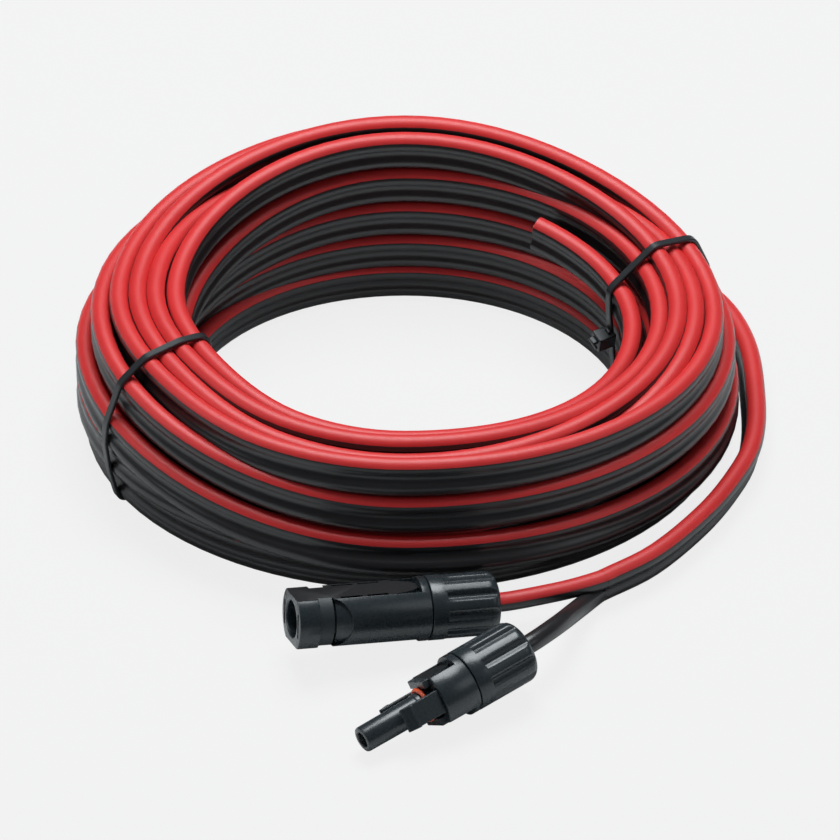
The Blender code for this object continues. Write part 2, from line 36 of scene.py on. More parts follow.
# --- cable -------------------------------------------------------------------------
CORE_R = 3.0                 # one insulated core
CORE_OFFSET = 3.0            # from the twin's middle to each core
WEB_HALF_ANGLE = 46          # degrees from the vertical to where the web between the cores starts
STRIPE_EDGE = 25             # degrees above the core's side where the red stripe starts
SECTION_STEPS = (4, 8, 4)    # sides of a core below, on and beyond the stripe

# --- coil --------------------------------------------------------------------------
COIL_CENTRE = Vector((-1.46, 123.37, 0))
QUARTER_STEPS = 22
CUT_ANGLE = 48.0             # the cable's cut end, seen from the coil's centre
CUT_POLE = (55.9, 41.2, 0)   # where the first quarter would reach if it went on to the back
# Turns from the cut end outwards. Each passes the right, the front, the left and the
# back of the coil at (distance from the centre, height of the twin's middle, inward lean).
TURNS = [
    ((68.2, 34.2, 0), (60.7, 40.1, 4), (68.8, 46.5, 0), (66.4, 54.0, 0)),
    ((81.8, 42.0, 0), (70.6, 39.3, 4), (80.2, 46.5, 0), (73.8, 54.2, -9)),
    ((92.6, 39.5, 0), (76.2, 41.8, 18), (85.8, 45.5, 0), (78.6, 50.0, 0)),
    ((96.2, 29.0, 0), (79.3, 30.0, 14), (91.2, 41.5, 0), (77.8, 38.6, 0)),
    ((97.3, 14.0, 0), (83.8, 18.0, 28), (95.8, 29.5, 0), (77.4, 28.0, 0)),
    ((87.3, 28.5, 0), (79.0, 18.0, 10), (95.6, 17.2, 0), (77.0, 17.0, 0)),
    ((87.5, 12.0, 0), (73.0, 18.0, 0), (91.0, 29.0, 0), (71.0, 18.0, 0)),
    ((81.5, 10.0, 0), (71.2, 6.3, 0), (81.2, 8.0, 0), (70.6, 6.3, 0)),
    ((75.5, 11.0, 0), (65.0, 6.3, 0), (69.4, 7.8, 0), (64.5, 6.3, 0)),
    ((69.5, 6.6, 0), (61.0, 18.0, 0), (74.0, 13.0, 0), (64.9, 17.2, 0)),
    ((69.5, 18.6, 0), (61.0, 29.0, 0), (72.0, 21.0, 0), (65.3, 29.2, 0)),
    ((75.5, 27.0, 0), (67.0, 30.5, 0), (67.2, 31.5, 0), (65.8, 41.4, 0)),
    ((76.5, 39.5, 0), (65.6, 42.5, 4), (74.8, 47.0, 0), (71.9, 42.0, 0)),
    ((87.0, 41.0, 0), (73.0, 30.0, 0), (79.4, 33.5, 0), (71.4, 30.0, 0)),
    ((81.5, 29.5, 0), (67.0, 18.0, 0), (85.4, 33.0, 0), (76.7, 6.3, 0)),
    ((93.3, 7.6, 0), (77.3, 6.2, 0), (93.0, 7.8, 0), (87.6, 6.1, 0)),
]
TIE_PULL = 2.2               # how far the left tie draws the inner turns inwards
TIE_PULL_ANGLE = -152        # where, round the coil
TIE_PULL_REACH = 32          # degrees each way along the turns
FREE_RADIUS = 89             # turns that pass the left side further out keep their place
LOOP = [(20, 86.6, 6.1), (45, 80.5, 6.1), (68, 69, 6.1), (90.5, 53.5, 6.1), (101.5, 31, 6.1),
        (104.6, 2, 6.1), (103.4, -19.4, 6.1), (97.4, -36.5, 6.1), (88.2, -53.2, 6.1),
        (74.0, -71.4, 6.1), (58.6, -83.5, 6.1)]
LOOP_LEAN = -14              # the loose twin's upper core leans outwards
LEAN_REACH = 160             # it comes to that lean over this length
RED_TAIL = [(50.0, -88.6, 9.2), (41.0, -92.0, 9.4)]
BLACK_TAIL = [(51.8, -95.2, 6.8), (45.6, -110.0, 12.6)]
TAIL_SCALE = 0.985           # the loose cores start just inside the twin's skin
TAIL_UPRIGHT = 2.2           # a loose core stands upright after 1 / 2.2 of its way
INTO_NUT = [(-4, 0, 0), (3, 0, 0), (12, 0, 0), (24.6, 0, 0)]
ROUTE_DETAIL = 24            # straight bits of a curve between two points of a route
LOOP_SPACING = 4.0
TAIL_SPACING = 1.6
CORD_SMOOTH = 40             # edges sharper than this, in degrees, stay sharp

# --- ties: inner and outer point of each upright plane from the coil's centre, head height --
TIE_LEFT = ((-54, -17.7), (-90, -38), 22)
TIE_RIGHT = ((54, 12.1), (93, 36), 20.5)
TIE_SPAN = (-2, 48)          # the turns that cross the plane in this stretch are tied
TIE_WIDTH = 2.5
TIE_THICKNESS = 1.1
TIE_CLEAR = 0.12             # between the strap and the cores it holds
TIE_LOWEST = 0.7             # the strap's middle stays this far above the table
TIE_STEP = 0.9
TIE_SMOOTHING = 3            # rounds of smoothing of the strap's corners
TIE_BEVEL = 0.22
DISC_SIDES = 40              # corners of the disc that a cut core is taken for
TIE_NARROWEST = 0.5          # least sine of the angle between a core and the plane
TIE_HEAD = (5.6, 4.8, 5.2)   # depth, width, height
TIE_HEAD_SINK = 0.3          # its back lies this far inside the strap
TIE_HEAD_TILT = 12
TIE_HEAD_BAND = 2            # the head sits within this height of its own place
TIE_END = (0.9, 2.0, 1.0)    # the strap's cut end: from, to, and how far it stands out
TIE_LIP_SHARE = 0.3          # half width of the head's lips, as a share of its width
TIE_HEAD_BEVEL = 0.35
TIE_SMOOTH = 35

# --- where the connectors lie: X, Y, Z of the nut's back, roll, pitch up, heading -----
SHELL_POSE = (25.2, 27.5, 9.66, 18.0, 6.3, 195.15)
PROBE_POSE = (33.4, 0.43, 14.04, 35.0, -7.8, 215.3)
PLASTIC_SMOOTH = 32

# --- gland nuts, along the axis from the nut's back and out from it --------------------
EDGE = 0.35                  # how far back a moulded edge is rounded
CORNER = 0.1                 # how far in the middle of that rounding lies
NUT_R = 9.75
NUT_LENGTH = 21.5
NUT_SHOULDER = 3.0
SHOULDER_STEP = 9            # degrees between the points of the round shoulder
NUT_HOLE_R = 3.45
NUT_HOLE_END = 3.5           # the cable's hole opens here into the hollow nut
NUT_WALL = 1.4
NUT_RINGS = (3.6, 6.0, 10.0, 14.0)    # rings that keep the shading straight along the flutes
FLUTES = 10
FLUTE_SIDES = 24             # sides of the nut in each flute's share of its girth
FLUTE_END = 16.5
FLUTE_END_RINGS = (-0.05, 0.25, 1.0)  # from the flutes' floor up to the plain band
FLUTE_DEPTH = 1.05
FLUTE_HALF_WIDTH = 1.75
FLUTE_STEEPNESS = 1.3        # 1 is a plain V, more is steeper sides and a flat floor
SHELL_NUT_TURN = 16          # degrees from the strips' normal to a flute
PROBE_NUT_TURN = -2

# --- housings, along the axis from the nut's back and out from it ----------------------
HOUSING_SIDES = 120
CLEAR = 14                   # beyond every surface
BEYOND = 1                   # a cut runs this far past the end it opens
AXIS_R = 0.01                # a turned outline stays this far from its axis
SPIGOT_START = 10.0          # the spigot under the nut
SPIGOT_R = 7.9
CAGE_BORE_END = 28.0         # the clamp cage slides in this bore
CAGE_BORE_R = 6.1
CONTACT_BORE_R = 4.1
BODY_START = 21.8
BODY_R = 9.7
STRIP_TIP = 24.2
POCKET_DEPTH = 1.1
# Beside a strip's round tip: along the axis, and across as a share of the strip's half width.
POCKET = [(33.5, 1.0), (STRIP_TIP, 1.0), (STRIP_TIP, 0.28), (25.0, 0.42), (26.6, 0.62),
          (29.0, 0.8), (31.4, 0.9)]
# Slit along a strip's edge: in from the edge, and depth under the flat.
SLIT = [(0.2, -1), (1.4, -1), (1.4, 0), (3.8, 1.3), (0.2, 1.3)]
SHELL_LENGTH = 63.0
SHELL_FLAT = 7.5
SHELL_SLITS = [(34.6, 41.2), (42.6, 49.4)]
HEAD_START = 56.5
HEAD_R = 9.8
HEAD_EDGE = 0.4
HEAD_BEVEL = 0.15
WAIST_START = 52.0
WAIST_R = 8.8
WAIST_BEVEL = 0.2
MOUTH_R = 5.6
MOUTH_FLOOR = 40.0
LATCH_CHANNEL = (6.5, 7.75, 3.8)      # inner and outer face, half width
GROOVE_START = 51.3          # the latch window shows as a dark groove beside the waist
GROOVE_R = 6.9
GROOVE_WIDTH = 1.0
SCOOP = (5.6, 7.4)           # length and half height of the thumb scoop
SCOOP_STEP = 6               # degrees between the points of its arch
SCOOP_INNER = 3.0            # the scoop's cutter starts this far from the axis
SCOOP_SLOPE_START = 45.0     # its floor slopes from here to the groove
SCOOP_R = (9.75, 8.25)       # and goes down between these radii
PROBE_LENGTH = 58.8
PROBE_FLAT = 7.4
PROBE_FRONT = 33.5
PROBE_EDGE = (0.6, 0.15)     # rounding of the probe's front, as EDGE and CORNER
PROBE_R = 4.15               # the nose
NOSE_END = [(0.6, 0.12), (0.15, 0.3), (0, 0.6)]       # back from its tip, in from its side
COLLAR_R = PROBE_R + 0.6     # behind the O-ring
STEP_R = PROBE_R + 0.35      # between the O-ring and the nose
STEP = (38.7, 39.1)
RING_SEAT = (35.5, 37.5, 3.88)        # start, end, radius
NOSE_HOLE_R = 2.4
NOSE_HOLE_START = 56.8
SOCKET_BORE_START = 31.6
SOCKET_BORE_R = 2.95
ARM_POCKET_START = 29.0
ARM_POCKET = (5.8, 8.4, 3.95)         # inner and outer face, half width
TONGUE = [(31.5, 7.37), (35.5, 7.37), (35.7, 7.15), (35.7, 5.0), (31.5, 5.0)]
TONGUE_HALF = 5.3

# --- surfaces: two tones, roughness, relief in mm, grain per metre, metallic, edge in mm --
SURFACES = {
    "red_jacket": ((0.58, 0.019, 0.02), (0.66, 0.03, 0.03), 0.46, 0.02),
    "black_jacket": ((0.0125, 0.0115, 0.0125), (0.0205, 0.0195, 0.021), 0.31, 0.015),
    "black_plastic": ((0.016, 0.023, 0.027), (0.023, 0.031, 0.036), 0.27, 0.004, 900.0, 0.0, 0.3),
    "waist_plastic": ((0.014, 0.021, 0.025), (0.02, 0.028, 0.033), 0.5, 0.004),
    "strip_plastic": ((0.003, 0.004, 0.005), (0.006, 0.007, 0.008), 0.5, 0.004),
    "tie_nylon": ((0.012, 0.014, 0.016), (0.02, 0.022, 0.025), 0.36, 0.02),
    "grey_plastic": ((0.08, 0.085, 0.09), (0.1, 0.105, 0.11), 0.45),
    "seal_rubber": ((0.03, 0.03, 0.032), (0.05, 0.05, 0.05), 0.7, 0.04),
    "o_ring_rubber": ((0.72, 0.075, 0.02), (0.8, 0.11, 0.03), 0.38),
    "tinned_copper": ((0.74, 0.71, 0.66), (0.82, 0.79, 0.74), 0.28, 0.01, 1600.0, 1.0),
    "spring_steel": ((0.55, 0.55, 0.57), (0.64, 0.64, 0.66), 0.3, 0.01, 1600.0, 1.0),
    "copper": ((0.75, 0.33, 0.16), (0.85, 0.45, 0.25), 0.32, 0.02, 1500.0, 1.0),
}
BROAD_NOISE = (70.0, 4.0)    # scale and detail of the change between the two tones
FINE_DETAIL = 3.0
GLOSS_SPREAD = (-0.07, 0.09)
GRAIN_STRENGTH = 0.5

# --- surface of each CAD node that isn't plain black plastic ---------------------------
NODE_LOOKS = {
    "shell_clamp_cage": "grey_plastic", "probe_clamp_cage": "grey_plastic",
    "shell_gland_seal": "seal_rubber", "probe_gland_seal": "seal_rubber",
    "probe_o_ring": "o_ring_rubber",
    "shell_contact_pin": "tinned_copper", "probe_contact_socket": "tinned_copper",
    "shell_contact_clip": "spring_steel", "probe_contact_clip": "spring_steel",
    "shell_conductor": "copper", "probe_conductor": "copper",
    "cut_end_copper_red": "copper", "cut_end_copper_black": "copper",
}

# --- picture -------------------------------------------------------------------------
VIEW_WIDTH = 252.3           # width of the table that the picture spans
ELEVATION = 38.5
LENS = 1500.0
SENSOR = 36.0
AIM = (4.5, 0.0, 2.25)       # the picture's middle: right, forward and up from the coil's centre
CLIP = (1.0, 40.0)           # metres
BACKDROP = (0.888, 0.888, 0.888)
FLOOR_TONE = (0.8, 0.8, 0.8)
FLOOR_REACH = 30000
FLOOR_GLOW = 0.93            # how much of the floor in view is the even backdrop
WORLD_TONE = (0.9, 0.93, 1.0)
WORLD_STRENGTH = 0.1
LAMPS = [                    # name, place and width in metres, watts
    ("top", (0.0, 0.45, 1.1), 0.7, 16.5),
    ("left", (-0.9, -0.1, 0.6), 0.4, 1.3),
    ("right", (0.9, -0.3, 0.7), 0.5, 0.9),
]
LAMP_TONE = (0.93, 0.98, 1.0)
LAMP_AIM = Vector((0, 0.09, 0.02))


# --- mesh kit --------------------------------------------------------------------------
def new_piece(name, shape, surfaces, smooth=180):
    """A named object in metres from a bmesh in millimetres."""
    bmesh.ops.scale(shape, vec=(MM, MM, MM), verts=shape.verts)
    bmesh.ops.recalc_face_normals(shape, faces=shape.faces)
    mesh = bpy.data.meshes.new(name)
    shape.to_mesh(mesh)
    shape.free()
    mesh.shade_smooth()
    if smooth < 180:
        mesh.set_sharp_from_angle(angle=math.radians(smooth))
    for surface in surfaces:
        mesh.materials.append(surface)
    piece = bpy.data.objects.new(name, mesh)
    bpy.context.collection.objects.link(piece)
    return piece


def skin(shape, rings, closed=True, tints=None):
    """Join rings of vertices, each to the next, and the last to the first where closed."""
    size = len(rings[0])
    for ring, following in zip(rings, rings[1:] + rings[:1] if closed else rings[1:]):
        for index in range(size):
            other = (index + 1) % size
            face = shape.faces.new((ring[index], ring[other], following[other], following[index]))
            if tints:
                face.material_index = tints[index]


def sweep(shape, points, ups, sections, closed=False, tints=None):
    """Add a tube to a bmesh: at each point of a line its own section of (side, up) points."""
    count = len(points)
    rings = []
    for index, point in enumerate(points):
        if closed:
            before, after = points[index - 1], points[(index + 1) % count]
        else:
            before, after = points[max(index - 1, 0)], points[min(index + 1, count - 1)]
        ahead = (after - before).normalized()
        side = ahead.cross(ups[index]).normalized()
        top = side.cross(ahead)
        rings.append([shape.verts.new(point + side * a + top * b) for a, b in sections[index]])
    skin(shape, rings, closed, tints)
    if not closed:
        shape.faces.new(rings[0][::-1])
        shape.faces.new(rings[-1])


def add_box(shape, low, high):
    """Add a box between two corners to a bmesh and return its vertices."""
    made = bmesh.ops.create_cube(shape, size=1.0)["verts"]
    bmesh.ops.scale(shape, vec=[b - a for a, b in zip(low, high)], verts=made)
    bmesh.ops.translate(shape, vec=[(a + b) / 2 for a, b in zip(low, high)], verts=made)
    return made


def smooth_route(points, spacing):
    """Evenly spaced points of a Catmull-Rom curve through the route's own points."""
    way = [Vector(p) for p in points]
    way = [way[0] * 2 - way[1]] + way + [way[-1] * 2 - way[-2]]
    dense = []
    for a, b, c, d in zip(way, way[1:], way[2:], way[3:]):
        for index in range(ROUTE_DETAIL):
            t = index / ROUTE_DETAIL
            dense.append(0.5 * (2 * b + (c - a) * t + (2 * a - 5 * b + 4 * c - d) * t * t
                                + (3 * b - a - 3 * c + d) * t ** 3))
    dense.append(way[-2])
    lengths = [0.0]
    for a, b in zip(dense, dense[1:]):
        lengths.append(lengths[-1] + (b - a).length)
    count = max(2, round(lengths[-1] / spacing))
    picked, index = [], 0
    for step in range(count + 1):
        target = lengths[-1] * step / count
        while index < len(dense) - 2 and lengths[index + 1] < target:
            index += 1
        share = (target - lengths[index]) / (lengths[index + 1] - lengths[index])
        picked.append(dense[index].lerp(dense[index + 1], share))
    return picked


def ease(share):
    """A smooth step from 0 to 1."""
    return share * share * (3 - 2 * share)


def turn_of(pose):
    """Rotation of a connector's frame."""
    return Euler([math.radians(a) for a in (pose[3], -pose[4], pose[5])]).to_matrix()


def in_world(pose, points):
    """World millimetres of points given in a connector's frame."""
    return [turn_of(pose) @ Vector(p) + Vector(pose[:3]) for p in points]


def from_coil(points):
    """World millimetres of points given from the coil's centre."""
    return [Vector(p) + COIL_CENTRE for p in points]


# --- cable -----------------------------------------------------------------------------
def core_angles(start, end, shift=0.0):
    """Angles round one core, with corners on both edges of a stripe turned by shift."""
    stops = (start, STRIPE_EDGE + shift, 180 - STRIPE_EDGE + shift, end)
    angles = []
    for low, high, steps in zip(stops, stops[1:], SECTION_STEPS):
        angles += [low + (high - low) * i / steps for i in range(steps)]
    return angles + [end]


def on_core(angles, height=0.0):
    """Section points at angles round a core whose middle is at a height."""
    return [(CORE_R * math.cos(math.radians(a)), height + CORE_R * math.sin(math.radians(a)))
            for a in angles]


def twin_section(lean):
    """The figure-eight section, its stripe kept upright while the twin leans."""
    low = WEB_HALF_ANGLE - 90
    lower = [a + 180 for a in core_angles(low, 180 - low)]
    return on_core(core_angles(low, 180 - low, lean), CORE_OFFSET) + on_core(lower, -CORE_OFFSET)


def core_section(lean):
    """The round section of one core, its stripe kept upright."""
    return [(a * TAIL_SCALE, b * TAIL_SCALE) for a, b in on_core(core_angles(-90, 270, lean)[:-1])]


def stripe_tints(count):
    """Material of each side of a section: 1 on the stripe."""
    below, on_it, _ = SECTION_STEPS
    return [int(below <= index < below + on_it) for index in range(count)]


def quarter(start, end, angle, first=0):
    """Points and leans of a quarter turn clockwise from one passing place to the next.

    Side is the passing place on the coil's right or left, pole the one at its front or back.
    """
    side, pole = (start, end) if angle % 180 == 0 else (end, start)
    line = []
    for step in range(first, QUARTER_STEPS):
        degrees = angle - 90 * step / QUARTER_STEPS
        across, along = math.cos(math.radians(degrees)), math.sin(math.radians(degrees))
        radius = 1 / math.hypot(across / side[0], along / pole[0])
        near = max(0.0, 1 - abs((degrees - TIE_PULL_ANGLE + 180) % 360 - 180) / TIE_PULL_REACH)
        if side[0] < FREE_RADIUS:
            radius -= TIE_PULL * ease(near)
        share = along ** 2
        height, lean = (side[k] + (pole[k] - side[k]) * share for k in (1, 2))
        line.append((Vector((radius * across, radius * along, height)), lean))
    return line


def coil_line():
    """The twin's middle from its cut end through all turns and the loop to the split."""
    first = round(QUARTER_STEPS * (90 - CUT_ANGLE) / 90)
    line = quarter(CUT_POLE, TURNS[0][0], 90, first)
    for index, (right, front, left, back) in enumerate(TURNS):
        line += quarter(right, front, 0)
        line += quarter(front, left, -90)
        line += quarter(left, back, -180)
        if index + 1 < len(TURNS):
            line += quarter(back, TURNS[index + 1][0], -270)
    back = TURNS[-1][3]
    loose = smooth_route([line[-1][0], (0, back[0], back[1])] + LOOP, LOOP_SPACING)[1:]
    gone, before = 0.0, line[-1][0]
    for point in loose:
        gone += (point - before).length
        before = point
        line.append((point, LOOP_LEAN * ease(min(1.0, gone / LEAN_REACH))))
    return [p + COIL_CENTRE for p, _ in line], [lean for _, lean in line]


def leaning(points, leans):
    """Up vectors that lean from the vertical towards the right of the way."""
    ups = []
    for index, lean in enumerate(leans):
        ahead = points[min(index + 1, len(points) - 1)] - points[max(index - 1, 0)]
        inward = ahead.cross(UP).normalized()
        ups.append(UP * math.cos(math.radians(lean)) + inward * math.sin(math.radians(lean)))
    return ups


# --- surfaces --------------------------------------------------------------------------
def surface(name, colour, other, roughness, relief=0.02, grain=900.0, metallic=0.0, edge=0.0):
    """Moulded or extruded material: two tones mixed by noise, uneven gloss and a fine grain.

    Relief is the grain's depth and edge how far edges look rounded, both in millimetres.
    """
    made = bpy.data.materials.new(name)
    made.use_nodes = True
    nodes, links = made.node_tree.nodes, made.node_tree.links
    shader = nodes["Principled BSDF"]
    place = nodes.new("ShaderNodeTexCoord")
    broad, fine = nodes.new("ShaderNodeTexNoise"), nodes.new("ShaderNodeTexNoise")
    for noise, (scale, detail) in ((broad, BROAD_NOISE), (fine, (grain, FINE_DETAIL))):
        noise.inputs["Scale"].default_value = scale
        noise.inputs["Detail"].default_value = detail
        links.new(place.outputs["Object"], noise.inputs["Vector"])
    tone = nodes.new("ShaderNodeMix")
    tone.data_type = "RGBA"
    tone.inputs["A"].default_value = (*colour, 1)
    tone.inputs["B"].default_value = (*other, 1)
    links.new(broad.outputs["Fac"], tone.inputs["Factor"])
    links.new(tone.outputs["Result"], shader.inputs["Base Color"])
    gloss = nodes.new("ShaderNodeMapRange")
    gloss.inputs["To Min"].default_value = roughness + GLOSS_SPREAD[0]
    gloss.inputs["To Max"].default_value = roughness + GLOSS_SPREAD[1]
    links.new(fine.outputs["Fac"], gloss.inputs["Value"])
    links.new(gloss.outputs["Result"], shader.inputs["Roughness"])
    bump = nodes.new("ShaderNodeBump")
    bump.inputs["Strength"].default_value = GRAIN_STRENGTH
    bump.inputs["Distance"].default_value = relief * MM
    links.new(fine.outputs["Fac"], bump.inputs["Height"])
    links.new(bump.outputs["Normal"], shader.inputs["Normal"])
    shader.inputs["Metallic"].default_value = metallic
    if edge:
        rounded = nodes.new("ShaderNodeBevel")
        rounded.inputs["Radius"].default_value = edge * MM
        links.new(rounded.outputs["Normal"], bump.inputs["Normal"])
    return made


# --- stage -----------------------------------------------------------------------------
def floor():
    """Pale matte floor that the camera sees mostly as an even backdrop."""
    shape = bmesh.new()
    bmesh.ops.create_grid(shape, x_segments=1, y_segments=1, size=FLOOR_REACH)
    ground = new_piece("floor", shape, [])
    paint = bpy.data.materials.new("floor_paint")
    paint.use_nodes = True
    nodes, links = paint.node_tree.nodes, paint.node_tree.links
    nodes.clear()
    out = nodes.new("ShaderNodeOutputMaterial")
    matte = nodes.new("ShaderNodeBsdfDiffuse")
    matte.inputs["Color"].default_value = (*FLOOR_TONE, 1)
    glow = nodes.new("ShaderNodeEmission")
    glow.inputs["Color"].default_value = (*BACKDROP, 1)
    seen = nodes.new("ShaderNodeLightPath")
    share = nodes.new("ShaderNodeMath")
    share.operation = "MULTIPLY"
    share.inputs[1].default_value = FLOOR_GLOW
    mix = nodes.new("ShaderNodeMixShader")
    links.new(seen.outputs["Is Camera Ray"], share.inputs[0])
    links.new(share.outputs[0], mix.inputs["Fac"])
    links.new(matte.outputs[0], mix.inputs[1])
    links.new(glow.outputs[0], mix.inputs[2])
    links.new(mix.outputs[0], out.inputs["Surface"])
    ground.data.materials.append(paint)


def studio():
    """Dim light from all round, under a backdrop that only the camera sees."""
    world = bpy.data.worlds.new("studio")
    world.use_nodes = True
    nodes, links = world.node_tree.nodes, world.node_tree.links
    nodes.clear()
    out = nodes.new("ShaderNodeOutputWorld")
    dim = nodes.new("ShaderNodeBackground")
    dim.inputs["Color"].default_value = (*WORLD_TONE, 1)
    dim.inputs["Strength"].default_value = WORLD_STRENGTH
    pale = nodes.new("ShaderNodeBackground")
    pale.inputs["Color"].default_value = (*BACKDROP, 1)
    seen = nodes.new("ShaderNodeLightPath")
    mix = nodes.new("ShaderNodeMixShader")
    links.new(seen.outputs["Is Camera Ray"], mix.inputs["Fac"])
    links.new(dim.outputs[0], mix.inputs[1])
    links.new(pale.outputs[0], mix.inputs[2])
    links.new(mix.outputs[0], out.inputs["Surface"])
    bpy.context.scene.world = world


def lamps():
    """Soft square lights, all turned to the object."""
    for name, place, width, power in LAMPS:
        lamp = bpy.data.lights.new("light_" + name, "AREA")
        lamp.shape = "RECTANGLE"
        lamp.size = lamp.size_y = width
        lamp.energy = power
        lamp.color = LAMP_TONE
        holder = bpy.data.objects.new("light_" + name, lamp)
        holder.location = place
        holder.rotation_euler = (LAMP_AIM - Vector(place)).to_track_quat("-Z", "Y").to_euler()
        bpy.context.collection.objects.link(holder)


def camera():
    """A long lens, far off and raised, that spans VIEW_WIDTH where it aims."""
    lens = bpy.data.cameras.new("camera")
    lens.sensor_width = SENSOR
    lens.lens = LENS
    lens.clip_start, lens.clip_end = CLIP
    far = VIEW_WIDTH * LENS / SENSOR
    raised = math.radians(ELEVATION)
    away = Vector((0, -math.cos(raised), math.sin(raised)))
    above = Vector((0, math.sin(raised), math.cos(raised)))
    aim = COIL_CENTRE + Vector((AIM[0], 0, 0)) + above * AIM[2]
    eye = bpy.data.objects.new("camera", lens)
    eye.location = (aim + away * far) * MM
    eye.rotation_euler = away.to_track_quat("Z", "Y").to_euler()
    bpy.context.collection.objects.link(eye)
    bpy.context.scene.camera = eye
    bpy.context.scene.view_settings.view_transform = "Standard"


# --- cords -----------------------------------------------------------------------------
def cords(looks):
    """The twin cable and its two loose cores. Returns the twin's line and its up vectors."""
    jacket = [looks["black_jacket"], looks["red_jacket"]]
    points, leans = coil_line()
    ups = leaning(points, leans)
    sections = [twin_section(lean) for lean in leans]
    shape = bmesh.new()
    sweep(shape, points, ups, sections, tints=stripe_tints(len(sections[0])))
    twin = new_piece("twin_cable", shape, jacket, CORD_SMOOTH)
    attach(twin, "cable_set")
    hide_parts("twin_cable_coil", "twin_cable_loop", "cut_end_cable")

    end = points[-1]
    for name, lift, knots, pose, striped in (
            ("core_red", CORE_OFFSET, RED_TAIL, SHELL_POSE, True),
            ("core_black", -CORE_OFFSET, BLACK_TAIL, PROBE_POSE, False)):
        split = [points[-2] + ups[-2] * lift, end + ups[-1] * lift]
        route = smooth_route(split + from_coil(knots) + in_world(pose, INTO_NUT), TAIL_SPACING)
        count = len(route)
        lean = [leans[-1] * max(0.0, 1 - TAIL_UPRIGHT * i / count) for i in range(count)]
        sections = [core_section(value) for value in lean]
        shape = bmesh.new()
        sweep(shape, route, leaning(route, lean), sections, tints=stripe_tints(len(sections[0])))
        tail = new_piece(name, shape, jacket if striped else jacket[:1] * 2, CORD_SMOOTH)
        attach(tail, "cable_set")
        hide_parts(name + "_tail")
    return points, ups


# --- connectors ------------------------------------------------------------------------
def rim(x, radius, edge=EDGE, corner=CORNER):
    """Rounded outer edge of a turned outline at its front end."""
    return [(x - edge, radius), (x - corner, radius - corner), (x, radius - edge)]


def lay(piece, pose, body):
    """Put a piece of a connector in its place on a body."""
    piece.data.transform(Matrix.Translation(Vector(pose[:3]) * MM) @ turn_of(pose).to_4x4())
    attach(piece, body)


def nut_outline():
    """Outline of a nut's wall: the cable's hole, the round shoulder, the side, the hollow."""
    shoulder = NUT_R - NUT_SHOULDER
    outline = [(NUT_HOLE_END, NUT_HOLE_R), (EDGE, NUT_HOLE_R), (0.0, NUT_HOLE_R + EDGE), (0.0, shoulder)]
    for degrees in range(SHOULDER_STEP, 91, SHOULDER_STEP):
        angle = math.radians(degrees)
        outline.append((NUT_SHOULDER * (1 - math.cos(angle)), shoulder + NUT_SHOULDER * math.sin(angle)))
    outline += [(x, NUT_R) for x in NUT_RINGS]
    outline += [(FLUTE_END + past, NUT_R) for past in FLUTE_END_RINGS]
    outline += rim(NUT_LENGTH, NUT_R)
    return outline + [(NUT_LENGTH, NUT_R - NUT_WALL), (NUT_HOLE_END, NUT_R - NUT_WALL)]


def nut(name, pose, turn, body, looks):
    """Gland nut: rounded back shoulder, ten hollow flutes and a plain band at the front."""
    spacing = 360 / FLUTES
    count = FLUTES * FLUTE_SIDES
    shape = bmesh.new()
    rings = []
    for x, radius in nut_outline():
        fluted = 0 < x < FLUTE_END and radius > NUT_R - FLUTE_DEPTH
        ring = []
        for index in range(count):
            angle = math.tau * index / count
            away = (math.degrees(angle) - turn) % spacing
            side = NUT_R * math.radians(min(away, spacing - away))
            share = min(1.0, FLUTE_STEEPNESS * max(0.0, 1 - side / FLUTE_HALF_WIDTH))
            reach = min(radius, NUT_R - FLUTE_DEPTH * share) if fluted else radius
            ring.append(shape.verts.new((x, reach * math.sin(angle), reach * math.cos(angle))))
        rings.append(ring)
    skin(shape, rings)
    piece = new_piece(name + "_body", shape, [looks["black_plastic"]], PLASTIC_SMOOTH)
    lay(piece, pose, body)
    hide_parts(name)


def lathe(profile):
    """A closed solid turned about X from a closed outline of (x, radius) points."""
    shape = bmesh.new()
    rings = []
    for x, radius in profile:
        angles = (math.tau * index / HOUSING_SIDES for index in range(HOUSING_SIDES))
        rings.append([shape.verts.new((x, radius * math.cos(a), radius * math.sin(a))) for a in angles])
    skin(shape, rings)
    return shape


def block(low, high, side):
    """A box for side 1, or the same box turned half round about X for side -1."""
    shape = bmesh.new()
    bmesh.ops.scale(shape, vec=(1, side, side), verts=add_box(shape, low, high))
    return shape


def slab(outline, low, high, along="Z"):
    """An outline pushed from low to high: (x, y) along Z, (x, z) along Y or (y, z) along X."""
    order = {"Z": (0, 1, 2), "Y": (0, 2, 1), "X": (2, 0, 1)}[along]
    shape = bmesh.new()
    ends = []
    for depth in (low, high):
        ends.append([shape.verts.new([(u, v, depth)[k] for k in order]) for u, v in outline])
    skin(shape, ends, closed=False)
    shape.faces.new(ends[0][::-1])
    shape.faces.new(ends[1])
    return shape


def carve(shape, steps):
    """A bmesh in millimetres with others taken away from it or joined to it in turn."""
    def made_of(source):
        bmesh.ops.recalc_face_normals(source, faces=source.faces)
        mesh = bpy.data.meshes.new("carving")
        source.to_mesh(mesh)
        source.free()
        made = bpy.data.objects.new("carving", mesh)
        bpy.context.collection.objects.link(made)
        return made

    body = made_of(shape)
    tools = []
    for operation, tool in steps:
        tools.append(made_of(tool))
        step = body.modifiers.new("carving", "BOOLEAN")
        step.operation, step.object, step.use_self = operation, tools[-1], True
    result = bmesh.new()
    result.from_mesh(body.evaluated_get(bpy.context.evaluated_depsgraph_get()).to_mesh())
    for used in [body] + tools:
        bpy.data.objects.remove(used, do_unlink=True)
    return result


